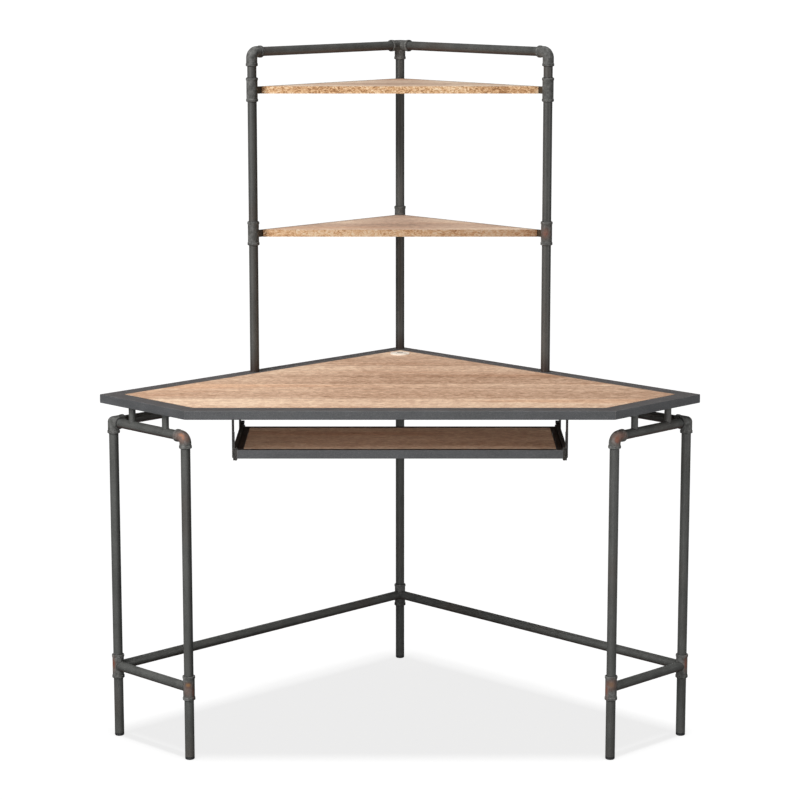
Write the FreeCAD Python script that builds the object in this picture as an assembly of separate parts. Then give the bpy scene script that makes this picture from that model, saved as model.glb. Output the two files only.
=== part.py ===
import FreeCAD, Part
import math
import os

# Corner desk with a two-shelf hutch and a sliding keyboard tray, in millimetres.
# +Z is up and the floor is Z = 0. +Y points into the room's corner and +X is to the
# right of a person sitting at the desk. The origin is under the middle of the desk top.

V = FreeCAD.Vector
UP = V(0, 0, 1)
DOWN = V(0, 0, -1)
ROOT2 = math.sqrt(2)

# ---------------------------------------------------------------- driving dimensions

# Desk top: a square corner with its front cut off at 45 degrees
wall_side = 913.0            # edge that stands against each wall
end_side = 280.0             # short edge at each end, square to the wall edge
desk_height = 762.0          # floor to the top surface
rim_width = 38.0             # rectangular tube welded round the top, seen from above
rim_height = 19.0
rim_wall = 2.0
rim_edge_radius = 1.5
panel_gap = 0.5              # between the wood panel and the rim
panel_edge_round = 0.4
tab_thickness = 2.0          # steel tabs under the panel, welded to the rim
tab_width = 30.0
tab_reach = 24.0
tabs_per_long_bar = 3
tabs_per_end_bar = 1

# Pipes and cast fittings
pipe_diameter = 20.5
pipe_wall = 2.0
pipe_inset = 20.0            # desk edge to the centre line of the pipe below it
fitting_diameter = 25.0
collar_diameter = 27.0       # raised bead at each mouth of a fitting
collar_width = 6.0
collar_round = 1.0
socket_clearance = 0.1       # radial, pipe in a fitting's mouth
sleeve_length = 52.5         # lower tees and shelf tees, end to end
sleeve_stop = 4.0            # middle of a sleeve to the seated pipe end
elbow_bend = 14.0            # centre line radius, and where a pipe end seats
elbow_reach = 26.5           # centre to the mouth, horizontal
elbow_drop = 24.0            # centre to the mouth, downward
outlet_reach = 22.0          # centre of an outer elbow to the mouth of its side outlet
hub_seat = 11.5              # centre of a corner hub to each seated pipe end
hub_reach = 31.0
hub_drop = 32.0

# Legs and rails
foot_height = 7.0            # plastic plug below each leg
foot_round = 2.5
foot_spigot = 16.0
spigot_clearance = 0.1
stretcher_height = 158.0     # centre line of the lower pipes
rail_drop = 41.5             # rim underside to the centre line of the upper rails
leg_spacing = 238.0          # outer leg to inner leg
riser_diameter = 15.0
riser_first = 64.0           # outer leg to the nearer riser, along the end rail
riser_second = 174.0         # outer leg to the farther riser
riser_bolt_depth = 16.0
riser_bolt_diameter = 6.0
bolt_head_diameter = 10.0
bolt_head_height = 4.0
thread_clearance = 0.1       # radial, thread in its tapped hole
hole_clearance = 0.3         # radial, bolt or stud through a plain hole

# Hutch
hutch_post_along = 484.0     # back corner to each side post, along the wall edge
lower_tee_rise = 314.0       # desk surface to the middle of the lower shelf's tees
shelf_pitch = 320.0          # lower shelf to upper shelf
shelf_seat = 1.7             # middle of the tees to the middle of the shelf's edge
hutch_rise = 83.0            # upper tees to the centre line of the top pipes
hutch_elbow_drop = 31.0
hutch_elbow_reach = 27.5
post_plug = 18.0             # welded in the foot of each hutch post
stud_diameter = 8.0
stud_depth = 14.0            # in the post above and in the riser below
shelf_thickness = 16.0
shelf_end_gap = 23.5         # side post's centre to the shelf's corner, along the bar
shelf_corner_radius = 1.5
shelf_notch_gap = 1.0        # round the back post
shelf_bar_thickness = 3.0    # flat steel bar along each back edge
shelf_screws_per_bar = 3

# Cable grommet
grommet_setback = 111.0      # back corner to the grommet's centre
grommet_hole = 40.0
grommet_flange = 46.0
grommet_flange_height = 2.6
grommet_flange_round = 1.2
grommet_wall = 1.6
grommet_fit = 0.1            # radial, liner in the hole
grommet_ledge = 1.6          # ledge that carries the cap
cap_depth = 2.0              # how far the cap sits below the desk surface
cap_clearance = 0.1          # cap to liner, all round and below
cap_crown = 0.6              # cap above the flange
slot_length = 15.0
slot_width = 9.0

# Keyboard tray
tray_half_width = 342.0
tray_depth = 262.0
tray_setback = 48.0          # desk's front edge to the tray's front face
tray_drop = 73.0             # rim underside to the top of the tray's frame
tray_rail_width = 12.0
tray_rail_height = 19.0
tray_rail_wall = 1.5
tray_edge_radius = 1.0
tray_panel_thickness = 12.0
tray_panel_recess = 1.0
tray_tabs_per_long_bar = 3
tray_tabs_per_side_bar = 1

# Ball slides
slide_length = 285.0
tray_travel = 200.0
slide_setback = 2.0          # behind the tray's front face
slide_thickness = 9.0        # tray frame to hanger
slide_height = 27.0
slide_sheet = 1.2
slide_gap = 1.0              # outer channel's lips to the tray frame
slide_inner_height = 17.0
slide_inner_width = 4.4
cage_sheet = 0.8
cage_gap = 0.6               # cage to the outer channel's web, and to the tray frame
ball_clearance = 0.05
ball_offset = 3.1            # tray frame to the ball centres
balls_per_row = 4
front_plate = 1.5            # end of the inner slide, seen from the front
front_plate_width = 6.0
front_plate_gap = 0.3
front_plate_round = 2.5
bumper_radius = 4.0
bumper_rise = 1.0            # bumper's middle above the channel

# Hangers that carry the slides
hanger_thickness = 2.0
hanger_depth = 50.0
hanger_spacing = 241.0       # front edge of the front hanger to that of the rear one
hanger_flange = 16.0
hanger_corner_radius = 8.0
hanger_short = 4.0           # hanger's lower end above the slide's lower edge
hanger_lip = 4.0             # folded front edge of the front hanger
hanger_lip_top = 35.0        # rim underside to the top of the lip
hanger_screw_spacing = 24.0
slide_screws_per_rail = 2

# Screws
screw_diameter = 4.0
screw_head_diameter = 8.0
screw_head_height = 1.8
head_roundness = 0.45        # share of a head's height that is rounded off
screw_bite = 12.0            # thread in wood
tray_screw_bite = 8.4        # the tray's panel is thin, so its screws are short
screw_clearance = 0.05       # radial, in wood or sheet

# ---------------------------------------------------------------- derived places

SIDES = {"left": -1, "right": 1}

pipe_r = pipe_diameter / 2
bore_r = pipe_r - pipe_wall
fitting_r = fitting_diameter / 2
collar_r = collar_diameter / 2
riser_r = riser_diameter / 2
bolt_seat = math.sqrt(bore_r ** 2 - (bolt_head_diameter / 2) ** 2)     # above the rail's axis
stud_r = stud_diameter / 2
screw_r = screw_diameter / 2

corner_y = (wall_side + end_side) / ROOT2 / 2     # the back corner; the front is opposite
rim_bottom = desk_height - rim_height
panel_bottom = rim_bottom + tab_thickness
rail_z = rim_bottom - rail_drop
outer_leg_along = wall_side - pipe_inset
lower_tee_z = desk_height + lower_tee_rise
tee_levels = {"lower": lower_tee_z, "upper": lower_tee_z + shelf_pitch}
shelf_levels = {level: z - shelf_seat for level, z in tee_levels.items()}
hutch_top_z = tee_levels["upper"] + hutch_rise
shelf_edge_inset = pipe_inset + shelf_bar_thickness / 2

tray_front = -corner_y + tray_setback
tray_rear = tray_front + tray_depth
tray_top = rim_bottom - tray_drop
tray_bottom = tray_top - tray_rail_height
tray_panel_bottom = tray_top - tray_panel_recess - tray_panel_thickness
slide_front = tray_front + slide_setback
slide_rear = slide_front + slide_length
slide_z = tray_bottom + tray_rail_height / 2
hanger_x = tray_half_width + slide_thickness
grommet_y = corner_y - grommet_setback
cable_hole = grommet_hole / 2


def along_wall(side):
    """Unit step along a wall edge, away from the back corner."""
    return V(side, -1, 0) / ROOT2


def off_wall(side):
    """Unit step away from that wall, square to it."""
    return V(-side, -1, 0) / ROOT2


def spot(side, along, inset, z):
    """A place measured along a wall edge from the back corner, and in from that edge."""
    return V(0, corner_y, z) + along_wall(side) * along + off_wall(side) * inset


def back_post(z):
    return spot(1, pipe_inset, pipe_inset, z)


def outer_leg(side, z):
    return spot(side, outer_leg_along, pipe_inset, z)


def inner_leg(side, z):
    return spot(side, outer_leg_along, pipe_inset + leg_spacing, z)


def side_post(side, z):
    return spot(side, hutch_post_along, pipe_inset, z)


# ---------------------------------------------------------------- shapes used by many

def rod(start, way, length, radius):
    return Part.makeCylinder(radius, length, start, way)


def box(low, high):
    size = high - low
    return Part.makeBox(size.x, size.y, size.z, low)


def pipe(start, end):
    way = end - start
    return rod(start, way, way.Length, pipe_r).cut(rod(start, way, way.Length, bore_r))


def run(centre_a, seat_a, centre_b, seat_b):
    """A pipe between two fittings, from the seat in one to the seat in the other."""
    way = (centre_b - centre_a).normalize()
    return pipe(centre_a + way * seat_a, centre_b - way * seat_b)


def prism(points, bottom, height):
    """A flat outline, given by its corners, raised from a level."""
    ring = [V(p.x, p.y, bottom) for p in points]
    return Part.Face(Part.makePolygon(ring + ring[:1])).extrude(V(0, 0, height))


def rounded(solid, radius, chosen):
    return solid.makeFillet(radius, [edge for edge in solid.Edges if chosen(edge)])


def is_circle(edge):
    return isinstance(edge.Curve, Part.Circle)


def is_upright(edge):
    return len(edge.Vertexes) == 2 and abs(edge.tangentAt(edge.FirstParameter).z) > 0.999


def mirrored(solid):
    """The same piece on the other side of the desk."""
    return solid.mirror(V(0, 0, 0), V(1, 0, 0))


def both_sides(solids):
    return solids + [mirrored(solid) for solid in solids]


def evenly(low, high, count):
    """Places that share a length evenly, each in the middle of its share."""
    return [low + (high - low) * (i + 0.5) / count for i in range(count)]


def screw(seat, way, length, radius=screw_r, head_r=screw_head_diameter / 2, head=screw_head_height):
    """A pan-head screw whose head rests on seat and whose shank runs along way."""
    top = rounded(rod(seat, way * -1, head, head_r), head * head_roundness,
                  lambda edge: is_circle(edge) and (edge.CenterOfMass - seat).Length > head / 2)
    return top.fuse(rod(seat, way, length, radius)).removeSplitter()


# ---------------------------------------------------------------- cast fittings

def collar(mouth, way):
    return rounded(rod(mouth - way * collar_width, way, collar_width, collar_r), collar_round, is_circle)


def arm(centre, way, start, reach):
    """Outside of one arm of a fitting, with the bead at its mouth."""
    return [rod(centre + way * start, way, reach - start, fitting_r), collar(centre + way * reach, way)]


def arm_bore(centre, way, start, seat, reach):
    """Inside of one arm: the passage, and the wider mouth that takes the pipe."""
    mouth = rod(centre + way * seat, way, reach - seat, pipe_r + socket_clearance)
    if seat > start:
        return [rod(centre + way * start, way, seat - start, bore_r), mouth]
    return [mouth]


def fused(solids):
    return solids[0].fuse(solids[1:]).removeSplitter()


def hub(centre, arms, seat):
    """A fitting whose straight arms meet in a ball. Gives the casting and its outline."""
    outside = [Part.makeSphere(fitting_r, centre)]
    inside = [Part.makeSphere(bore_r, centre)]
    for way, reach in arms:
        outside += arm(centre, way, 0, reach)
        inside += arm_bore(centre, way, 0, seat, reach)
    outline = fused(outside)
    return outline.cut(fused(inside)), outline


def sleeve(centre):
    """A straight tee body: two upright mouths with a stop between the pipe ends."""
    half = sleeve_length / 2
    outside = [rod(centre + DOWN * half, UP, sleeve_length, fitting_r)]
    inside = [rod(centre + DOWN * sleeve_stop, UP, 2 * sleeve_stop, bore_r)]
    for way in (UP, DOWN):
        outside.append(collar(centre + way * half, way))
        inside += arm_bore(centre, way, sleeve_stop, sleeve_stop, half)
    outline = fused(outside)
    return outline.cut(fused(inside)), outline


def bend(centre, way_a, way_b, radius):
    """The curved middle of an elbow, as a solid of the given section radius."""
    disc = Part.Face(Part.Wire(Part.makeCircle(radius, centre + way_a * elbow_bend, way_a)))
    return disc.revolve(centre + (way_a + way_b) * elbow_bend, way_b.cross(way_a), 90)


def elbow(centre, way_a, reach_a, way_b, reach_b):
    """A square elbow with two beaded mouths. Gives the casting and its outline."""
    outside = [bend(centre, way_a, way_b, fitting_r)]
    inside = [bend(centre, way_a, way_b, bore_r)]
    for way, reach in ((way_a, reach_a), (way_b, reach_b)):
        outside += arm(centre, way, elbow_bend, reach)
        inside += arm_bore(centre, way, elbow_bend, elbow_bend, reach)
    outline = fused(outside)
    return outline.cut(fused(inside)), outline


# ---------------------------------------------------------------- mitred frames

def inset(corners, depth):
    """The corners of a convex outline moved in by depth from every edge."""
    moved = []
    for i, here in enumerate(corners):
        back = (here - corners[i - 1]).normalize()
        ahead = (corners[(i + 1) % len(corners)] - here).normalize()
        normals = V(-back.y, back.x, 0) + V(-ahead.y, ahead.x, 0)
        moved.append(here + normals * (depth * 2 / normals.dot(normals)))
    return moved


def mitred_bar(corners, i, width, wall, bottom, height, radius):
    """One bar of a frame of rectangular tube, mitred at both ends."""
    j = (i + 1) % len(corners)
    far = inset(corners, width)
    outline = prism([corners[i], corners[j], far[j], far[i]], bottom, height)
    way = (corners[j] - corners[i]).normalize()
    tube = rounded(outline, radius, lambda edge: abs(edge.tangentAt(edge.FirstParameter).dot(way)) > 0.999)
    near, far = inset(corners, wall), inset(corners, width - wall)
    return tube.cut(prism([near[i], near[j], far[j], far[i]], bottom + wall, height - 2 * wall))


def tab_spots(corners, i, width, count):
    """Middle of each tab's root on a bar's inner face, with the way it points."""
    far = inset(corners, width)
    start, end = far[i], far[(i + 1) % len(corners)]
    way = (end - start).normalize()
    inward = V(-way.y, way.x, 0)
    return [(start + way * s, way, inward) for s in evenly(0, (end - start).Length, count)]


def tab(root, way, inward, top, wall):
    """A small plate welded to a bar's inner face, drilled for one screw."""
    half = tab_width / 2
    corners = [root - way * half - inward * wall, root + way * half - inward * wall,
               root + way * half + inward * tab_reach, root - way * half + inward * tab_reach]
    return prism(corners, top - tab_thickness, tab_thickness)


def tab_screw_spot(root, inward, level):
    return V(root.x, root.y, level) + inward * (tab_reach / 2)


def bar_with_tabs(corners, i, width, wall, bottom, height, radius, count, tab_top):
    bar = mitred_bar(corners, i, width, wall, bottom, height, radius)
    for root, way, inward in tab_spots(corners, i, width, count):
        bar = bar.fuse(tab(root, way, inward, tab_top, wall))
        hole = tab_screw_spot(root, inward, tab_top - tab_thickness)
        bar = bar.cut(rod(hole, UP, tab_thickness, screw_r + screw_clearance))
    return bar.removeSplitter()


# ---------------------------------------------------------------- desk top

def desk_corners():
    """Corners of the desk top, anticlockwise from the front left."""
    return [spot(-1, wall_side, end_side, 0), spot(1, wall_side, end_side, 0),
            spot(1, wall_side, 0, 0), V(0, corner_y, 0), spot(-1, wall_side, 0, 0)]


# Bars of the rim, in the order of the corners that they start from
DESK_BARS = ("rim_front", "rim_end_right", "rim_wall_right", "rim_wall_left", "rim_end_left")


def tabs_on(name):
    return tabs_per_end_bar if name.startswith("rim_end") else tabs_per_long_bar


def hutch_post_spots(z):
    return [side_post(side, z) for side in SIDES.values()] + [back_post(z)]


def rim_bar(name):
    bar = bar_with_tabs(desk_corners(), DESK_BARS.index(name), rim_width, rim_wall, rim_bottom,
                        rim_height, rim_edge_radius, tabs_on(name), panel_bottom)
    for place in hutch_post_spots(rim_bottom):
        bar = bar.cut(rod(place, UP, rim_height, stud_r + hole_clearance))
    return bar


def desk_tab_screw_spots():
    corners = desk_corners()
    spots = []
    for i, name in enumerate(DESK_BARS):
        for root, way, inward in tab_spots(corners, i, rim_width, tabs_on(name)):
            spots.append(tab_screw_spot(root, inward, rim_bottom))
    return spots


def hanger_panel_screw_spots():
    """Screws up through the right-hand hangers' flanges into the desk panel."""
    x = hanger_x + (hanger_thickness + hanger_flange) / 2
    return [V(x, y, panel_bottom - hanger_thickness) for y in hanger_screw_ys()]


def desk_panel():
    outline = prism(inset(desk_corners(), rim_width + panel_gap), panel_bottom, desk_height - panel_bottom)
    panel = rounded(outline, panel_edge_round,
                    lambda edge: edge.BoundBox.ZMin > desk_height - panel_edge_round)
    panel = panel.cut(rod(V(0, grommet_y, panel_bottom), UP, desk_height - panel_bottom, cable_hole))
    seats = [V(p.x, p.y, panel_bottom) for p in desk_tab_screw_spots()]
    for place in hanger_panel_screw_spots():
        seats += [V(place.x, place.y, panel_bottom), V(-place.x, place.y, panel_bottom)]
    for place in seats:
        panel = panel.cut(rod(place, UP, screw_bite, screw_r + screw_clearance))
    return panel


# ---------------------------------------------------------------- cable grommet

def ring(inner, outer, bottom, top):
    place = V(0, grommet_y, bottom)
    return rod(place, UP, top - bottom, outer).cut(rod(place, UP, top - bottom, inner))


def grommet_liner():
    barrel_r = cable_hole - grommet_fit
    inner_r = barrel_r - grommet_wall
    flange_top = desk_height + grommet_flange_height
    flange = ring(inner_r, grommet_flange / 2, desk_height, flange_top)
    flange = rounded(flange, grommet_flange_round,
                     lambda edge: is_circle(edge) and edge.Curve.Radius > cable_hole
                     and edge.BoundBox.ZMin > desk_height + grommet_flange_height / 2)
    barrel = ring(inner_r, barrel_r, panel_bottom, desk_height)
    ledge_top = desk_height - cap_depth
    ledge = ring(inner_r - grommet_ledge, inner_r, ledge_top - grommet_ledge, ledge_top)
    return fused([flange, barrel, ledge])


def grommet_cap():
    radius = cable_hole - grommet_fit - grommet_wall - cap_clearance
    bottom = desk_height - cap_depth + cap_clearance
    top = desk_height + grommet_flange_height + cap_crown
    disc = rounded(rod(V(0, grommet_y, bottom), UP, top - bottom, radius), cap_crown,
                   lambda edge: is_circle(edge) and edge.BoundBox.ZMin > desk_height)
    half = (slot_length - slot_width) / 2
    slot = box(V(-half, grommet_y - slot_width / 2, bottom), V(half, grommet_y + slot_width / 2, top))
    for end in (-half, half):
        slot = slot.fuse(rod(V(end, grommet_y, bottom), UP, top - bottom, slot_width / 2))
    return disc.cut(slot.removeSplitter())


# ---------------------------------------------------------------- legs, rails and their fittings

def foot_plug(place):
    """Plastic plug pressed into the open end of a leg; it stands on the floor."""
    foot = rounded(rod(place, UP, foot_height, pipe_r), foot_round,
                   lambda edge: is_circle(edge) and edge.CenterOfMass.z < foot_height / 2)
    return foot.fuse(rod(place, UP, foot_height + foot_spigot, bore_r - spigot_clearance)).removeSplitter()


def leg_spots(z):
    outer = [outer_leg(side, z) for side in SIDES.values()]
    inner = [inner_leg(side, z) for side in SIDES.values()]
    return outer + inner + [back_post(z)]


def leg_stub(place):
    """The piece of leg between the floor and the lower fitting."""
    return pipe(place + UP * foot_height, place + UP * (stretcher_height - sleeve_stop))


def leg(place, top_seat):
    """The piece of leg between the lower fitting and the fitting under the desk."""
    return pipe(place + UP * (stretcher_height + sleeve_stop), place + UP * (rail_z - top_seat))


def outer_elbow(side):
    """An elbow with a third mouth at its side, for the end rail."""
    arms = [(DOWN, elbow_drop), (along_wall(side) * -1, elbow_reach), (off_wall(side), outlet_reach)]
    return hub(outer_leg(side, rail_z), arms, hub_seat)


def inner_elbow(side):
    return elbow(inner_leg(side, rail_z), DOWN, elbow_drop, off_wall(side) * -1, elbow_reach)


def rail_hub():
    arms = [(DOWN, hub_drop)] + [(along_wall(side), hub_reach) for side in SIDES.values()]
    return hub(back_post(rail_z), arms, hub_seat)


def end_stretcher(side):
    """Lower pipe from the outer to the inner leg, welded to both fittings."""
    start, end = outer_leg(side, stretcher_height), inner_leg(side, stretcher_height)
    return pipe(start, end).cut(sleeve(start)[1]).cut(sleeve(end)[1])


def wall_stretcher(side):
    """Lower pipe from the outer leg to the back leg, shaped to what it is welded to."""
    start, end = outer_leg(side, stretcher_height), back_post(stretcher_height)
    stretcher = pipe(start, end).cut(sleeve(start)[1]).cut(sleeve(end)[1])
    way = off_wall(side)
    stretcher = stretcher.cut(rod(start, way, leg_spacing, pipe_r))
    beyond = -side * sleeve_length
    other_half = box(V(min(0, beyond), end.y - sleeve_length, end.z - pipe_diameter),
                     V(max(0, beyond), end.y + sleeve_length, end.z + pipe_diameter))
    return stretcher.cut(other_half)


def riser_spots(side):
    """Where the risers stand on the end rail."""
    return [outer_leg(side, rail_z) + off_wall(side) * s for s in (riser_first, riser_second)]


def end_rail(side):
    """Upper pipe of a leg frame, from the outer elbow's outlet to the inner elbow."""
    rail = run(outer_leg(side, rail_z), hub_seat, inner_leg(side, rail_z), elbow_bend)
    for place in riser_spots(side):
        bolt_hole = rod(place, UP, pipe_r, riser_bolt_diameter / 2 + hole_clearance)
        key_hole = rod(place, DOWN, pipe_r, bolt_head_diameter / 2 + hole_clearance)
        rail = rail.cut(bolt_hole).cut(key_hole)
    return rail


def wall_rail(side):
    return run(outer_leg(side, rail_z), hub_seat, back_post(rail_z), hub_seat)


def risers():
    """Round bars from the rails up to the rim. Those below the hutch posts take the studs."""
    bars = []
    for side in SIDES.values():
        for place in riser_spots(side):
            hole_r = riser_bolt_diameter / 2 + thread_clearance
            bolt_hole = rod(place, UP, pipe_r + riser_bolt_depth, hole_r)
            bars.append(riser(place, rail_below(place, off_wall(side))).cut(bolt_hole))
        place = side_post(side, rail_z)
        bars.append(riser(place, rail_below(place, along_wall(side))).cut(rim_stud_hole(place)))
    place = back_post(rail_z)
    bars.append(riser(place, rail_hub()[1]).cut(rim_stud_hole(place)))
    return bars


def riser(place, below):
    """A round bar from a rail's centre line up to the rim, shaped to what it stands on."""
    return rod(place, UP, rail_drop, riser_r).cut(below)


def rail_below(place, way):
    return rod(place - way * riser_r, way, riser_diameter, pipe_r)


def rim_stud_hole(place):
    return stud_hole(V(place.x, place.y, rim_bottom), DOWN)


def stud_hole(mouth, way):
    return rod(mouth, way, stud_depth + thread_clearance, stud_r + thread_clearance)


def frame_bolts():
    """Bolts from inside the end rails up into the risers, and studs from risers into posts."""
    pieces = []
    for side in SIDES.values():
        for place in riser_spots(side):
            pieces.append(screw(place + UP * bolt_seat, UP, pipe_r - bolt_seat + riser_bolt_depth,
                                riser_bolt_diameter / 2, bolt_head_diameter / 2, bolt_head_height))
    for place in hutch_post_spots(rim_bottom - stud_depth):
        pieces.append(rod(place, UP, rim_height + 2 * stud_depth, stud_r))
    return pieces


# ---------------------------------------------------------------- hutch

def post_foot(place, top):
    """Lowest piece of a hutch post: a pipe with a tapped plug welded in its foot."""
    foot = V(place.x, place.y, desk_height)
    post = pipe(foot, V(place.x, place.y, top)).fuse(rod(foot, UP, post_plug, pipe_r)).removeSplitter()
    return post.cut(stud_hole(foot, UP))


def side_post_pieces(side):
    lower, upper = tee_levels["lower"], tee_levels["upper"]
    return [post_foot(side_post(side, 0), lower - sleeve_stop),
            pipe(side_post(side, lower + sleeve_stop), side_post(side, upper - sleeve_stop)),
            pipe(side_post(side, upper + sleeve_stop), side_post(side, hutch_top_z - elbow_bend))]


def back_post_pieces():
    lower = tee_levels["lower"]
    return [post_foot(back_post(0), lower - sleeve_stop),
            pipe(back_post(lower + sleeve_stop), back_post(hutch_top_z - hub_seat))]


def hutch_elbow(side):
    centre, back = side_post(side, hutch_top_z), along_wall(side) * -1
    return elbow(centre, DOWN, hutch_elbow_drop, back, hutch_elbow_reach)


def hutch_hub():
    arms = [(DOWN, hub_drop)] + [(along_wall(side), hub_reach) for side in SIDES.values()]
    return hub(back_post(hutch_top_z), arms, hub_seat)


def top_pipe(side):
    return run(side_post(side, hutch_top_z), elbow_bend, back_post(hutch_top_z), hub_seat)


def back_radius(level):
    """Radius of what stands in the shelf's back corner: a fitting below, plain pipe above."""
    return fitting_r if level == "lower" else pipe_r


def shelf_screw_alongs():
    return evenly(pipe_inset + fitting_diameter, hutch_post_along - shelf_end_gap, shelf_screws_per_bar)


def shelf_bar(side, level):
    """Flat bar from the side tee to the back post, welded at both ends."""
    z = shelf_levels[level]
    start, end = side_post(side, z), back_post(z)
    half = off_wall(side) * (shelf_bar_thickness / 2)
    corners = [start - half, end - half, end + half, start + half]
    bar = prism(corners, z - shelf_thickness / 2, shelf_thickness)
    bar = bar.cut(sleeve(side_post(side, tee_levels[level]))[1])
    bar = bar.cut(rod(end + DOWN * shelf_thickness, UP, 2 * shelf_thickness, back_radius(level)))
    for s in shelf_screw_alongs():
        hole = spot(side, s, pipe_inset - shelf_bar_thickness / 2, z)
        bar = bar.cut(rod(hole, off_wall(side), shelf_bar_thickness, screw_r + screw_clearance))
    return bar


def shelf_board(level):
    """A right-angled triangle, notched round the back post."""
    z = shelf_levels[level]
    tip = hutch_post_along - shelf_end_gap
    corners = [spot(-1, tip, shelf_edge_inset, z), spot(1, tip, shelf_edge_inset, z),
               spot(1, shelf_edge_inset, shelf_edge_inset, z)]
    bottom = z - shelf_thickness / 2
    board = prism(corners, bottom, shelf_thickness)
    board = rounded(board, shelf_corner_radius,
                    lambda edge: is_upright(edge) and edge.CenterOfMass.y < grommet_y)
    notch_r = back_radius(level) + shelf_notch_gap
    board = board.cut(rod(back_post(bottom), UP, shelf_thickness, notch_r))
    for side in SIDES.values():
        for s in shelf_screw_alongs():
            hole = spot(side, s, shelf_edge_inset, z)
            board = board.cut(rod(hole, off_wall(side), screw_bite, screw_r + screw_clearance))
    return board


# ---------------------------------------------------------------- keyboard tray

def tray_corners():
    return [V(-tray_half_width, tray_front, 0), V(tray_half_width, tray_front, 0),
            V(tray_half_width, tray_rear, 0), V(-tray_half_width, tray_rear, 0)]


def tray_tab_count(i):
    return tray_tabs_per_long_bar if i in (0, 2) else tray_tabs_per_side_bar


def tray_bars():
    bars = []
    for i in range(4):
        bar = bar_with_tabs(tray_corners(), i, tray_rail_width, tray_rail_wall, tray_bottom,
                            tray_rail_height, tray_edge_radius, tray_tab_count(i), tray_panel_bottom)
        if tray_tab_count(i) == tray_tabs_per_side_bar:
            for place in slide_rail_screw_spots():
                hole = rod(place, V(-1, 0, 0), slide_sheet + tray_rail_wall, screw_r + screw_clearance)
                bar = bar.cut([hole, mirrored(hole)])
        bars.append(bar)
    return bars


def tray_tab_screw_spots():
    spots = []
    for i in range(4):
        for root, way, inward in tab_spots(tray_corners(), i, tray_rail_width, tray_tab_count(i)):
            spots.append(tab_screw_spot(root, inward, tray_panel_bottom - tab_thickness))
    return spots


def tray_panel():
    outline = inset(tray_corners(), tray_rail_width + panel_gap)
    panel = prism(outline, tray_panel_bottom, tray_panel_thickness)
    for place in tray_tab_screw_spots():
        seat = V(place.x, place.y, tray_panel_bottom)
        panel = panel.cut(rod(seat, UP, tray_screw_bite, screw_r + screw_clearance))
    return panel


# ---------------------------------------------------------------- ball slides, right-hand side

def channel(back_x, lip_x, y0, y1, height):
    """A C section about the slide's middle, open towards lip_x."""
    low_x, high_x = min(back_x, lip_x), max(back_x, lip_x)
    outer = box(V(low_x, y0, slide_z - height / 2), V(high_x, y1, slide_z + height / 2))
    toward = math.copysign(slide_sheet, lip_x - back_x)
    hollow_x = sorted((back_x + toward, lip_x + toward))
    half = height / 2 - slide_sheet
    return outer.cut(box(V(hollow_x[0], y0, slide_z - half), V(hollow_x[1], y1, slide_z + half)))


def slide_outer():
    """Fixed channel, with a soft bumper standing on its rear end."""
    lip_x = tray_half_width + slide_gap
    rail = channel(hanger_x, lip_x, slide_front, slide_rear, slide_height)
    top = slide_z + slide_height / 2
    middle = V(lip_x, slide_rear - bumper_radius, top + bumper_rise)
    bumper = rod(middle, V(1, 0, 0), hanger_x - lip_x, bumper_radius)
    below = box(V(lip_x, slide_rear - 2 * bumper_radius, top - bumper_radius), V(hanger_x, slide_rear, top))
    return [rail, bumper.cut(below)]


def slide_rail_screw_spots():
    """Screws from inside the inner channel into the tray's side rail."""
    ys = evenly(slide_front, tray_rear, slide_screws_per_rail)
    return [V(tray_half_width + slide_sheet, y, slide_z) for y in ys]


def slide_inner():
    """Moving channel on the tray's side, with the end plate that closes the slide."""
    plate_front = slide_front - front_plate_gap - front_plate
    lip_x = tray_half_width + slide_inner_width
    rail = channel(tray_half_width, lip_x, plate_front, slide_rear, slide_inner_height)
    half = slide_height / 2
    plate = box(V(tray_half_width, plate_front, slide_z - half),
                V(tray_half_width + front_plate_width, plate_front + front_plate, slide_z + half))
    plate = rounded(plate, front_plate_round,
                    lambda edge: abs(edge.tangentAt(edge.FirstParameter).y) > 0.999
                    and edge.CenterOfMass.z < slide_z)
    rail = rail.fuse(plate).removeSplitter()
    for place in slide_rail_screw_spots():
        rail = rail.cut(rod(place, V(-1, 0, 0), slide_sheet, screw_r + screw_clearance))
    return rail


def ball_radius():
    gap = slide_height / 2 - slide_sheet - slide_inner_height / 2
    return gap / 2 - ball_clearance


def ball_height():
    return (slide_height / 2 - slide_sheet + slide_inner_height / 2) / 2


def slide_cage():
    """Ball cage: it rolls half as far as the tray, and ends where the channels still overlap."""
    length = slide_length - tray_travel
    y0 = slide_front + tray_travel / 2
    web_x = hanger_x - slide_sheet - cage_gap
    half = ball_height() + cage_sheet / 2
    cage = box(V(web_x - cage_sheet, y0, slide_z - half), V(web_x, y0 + length, slide_z + half))
    balls = []
    for level in (slide_z - ball_height(), slide_z + ball_height()):
        low = V(tray_half_width + cage_gap, y0, level - cage_sheet / 2)
        cage = cage.fuse(box(low, V(web_x, y0 + length, level + cage_sheet / 2)))
        for y in evenly(y0, y0 + length, balls_per_row):
            middle = V(tray_half_width + ball_offset, y, level)
            window_r = ball_radius() + 2 * ball_clearance
            cage = cage.cut(rod(middle + DOWN * cage_sheet, UP, 2 * cage_sheet, window_r))
            balls.append(Part.makeSphere(ball_radius(), middle))
    return [cage.removeSplitter()] + balls


# ---------------------------------------------------------------- hangers, right-hand side

def hanger_starts():
    """Front edge of the front hanger and of the rear one, along the slide."""
    return [slide_front, slide_front + hanger_spacing]


def hanger_screw_ys():
    half = hanger_screw_spacing / 2
    return [y + hanger_depth / 2 + step for y in hanger_starts() for step in (-half, half)]


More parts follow.
